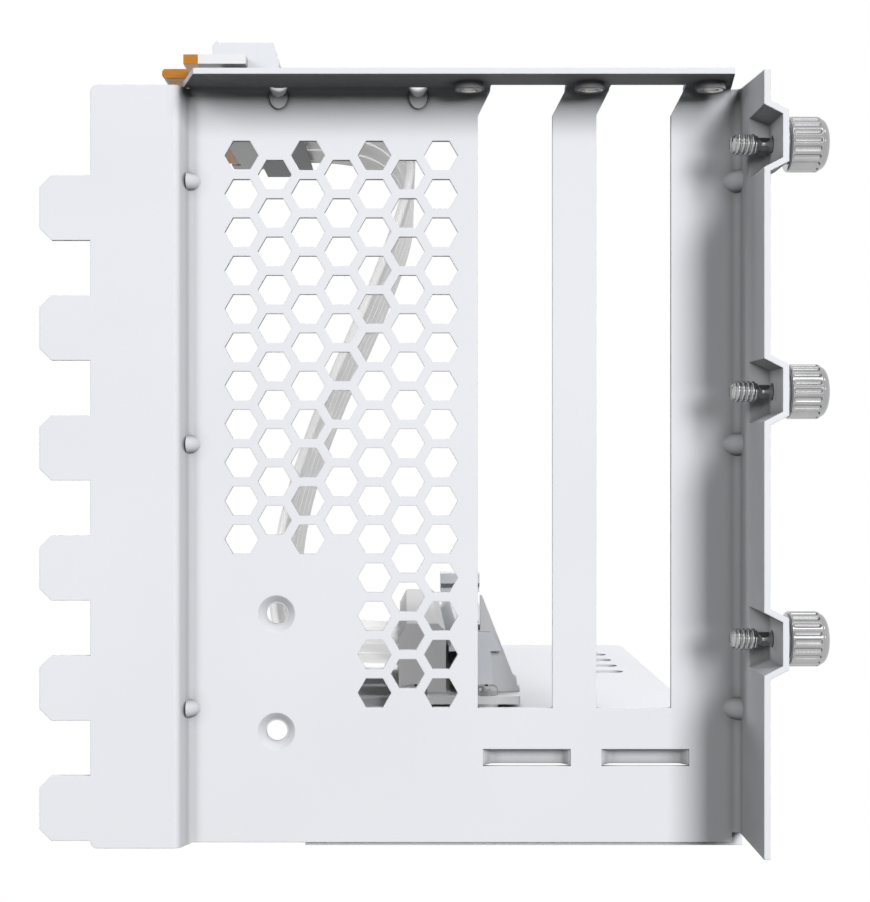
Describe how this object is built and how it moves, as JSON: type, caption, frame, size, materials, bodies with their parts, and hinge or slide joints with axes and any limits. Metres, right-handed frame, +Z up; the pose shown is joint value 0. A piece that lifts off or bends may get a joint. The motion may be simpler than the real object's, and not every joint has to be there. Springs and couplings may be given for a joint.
{
  "type": "vertical gpu mount",
  "caption": "Folded white steel bracket with a comb of slot tongues, hexagonal vent and open card slots; a shelf behind carries a card slot on a ribbon riser cable.",
  "frame": {"origin": "middle of the comb's outer face, which lies against the inside of the case's rear wall", "axes": "+X from the comb to the screw wall, +Y back into the case, +Z up to the flange with the card's screws"},
  "size_m": [0.1311, 0.1801, 0.1389],
  "materials": {
    "bracket_paint": "fine white powder coat",
    "nickel": "bright nickel plate",
    "screw_steel": "zinc plated",
    "board_white": "white solder mask",
    "slot_plastic": "moulded, satin",
    "block_plastic": "moulded, satin",
    "ribbon_jacket": "flat shielded cable, ribbed lengthwise",
    "gold": "gold plated"
  },
  "bodies": {
    "bracket": {"main_bracket": "bracket_paint", "riser_shelf": "bracket_paint", "riser_board": "board_white", "board_spacers": "screw_steel", "board_screws": "screw_steel", "slot_housing": "slot_plastic", "contact_row_left": "gold", "contact_row_right": "gold", "riser_support": "bracket_paint", "support_screw": "screw_steel", "slot_block": "block_plastic", "plug_board": "board_white", "plug_fingers_lower": "gold", "plug_fingers_upper": "gold", "plug_block": "block_plastic", "ribbon_1": "ribbon_jacket", "ribbon_2": "ribbon_jacket", "ribbon_3": "ribbon_jacket", "ribbon_4": "ribbon_jacket", "ribbon_5": "ribbon_jacket"},
    "screw_top": {"thumbscrew_top": "nickel"},
    "screw_middle": {"thumbscrew_middle": "nickel"},
    "screw_bottom": {"thumbscrew_bottom": "nickel"},
    "latch": {"slot_latch": "slot_plastic"}
  },
  "joints": [
    {"name": "screw_top_turn", "type": "hinge", "parent": "bracket", "child": "screw_top", "pos_m": [0.1097, -0.0076, 0.053], "axis": [1, 0, 0], "continuous": true},
    {"name": "screw_middle_turn", "type": "hinge", "parent": "bracket", "child": "screw_middle", "pos_m": [0.1097, -0.0076, 0.01236], "axis": [1, 0, 0], "continuous": true},
    {"name": "screw_bottom_turn", "type": "hinge", "parent": "bracket", "child": "screw_bottom", "pos_m": [0.1097, -0.0076, -0.02828], "axis": [1, 0, 0], "continuous": true},
    {"name": "latch_tip", "type": "hinge", "parent": "bracket", "child": "latch", "pos_m": [0.06, 0.1512, -0.043], "axis": [-1, 0, 0], "range_deg": [0, 20], "stiffness_Nm_per_rad": 0.02, "springref_deg": -2.86}
  ]
}
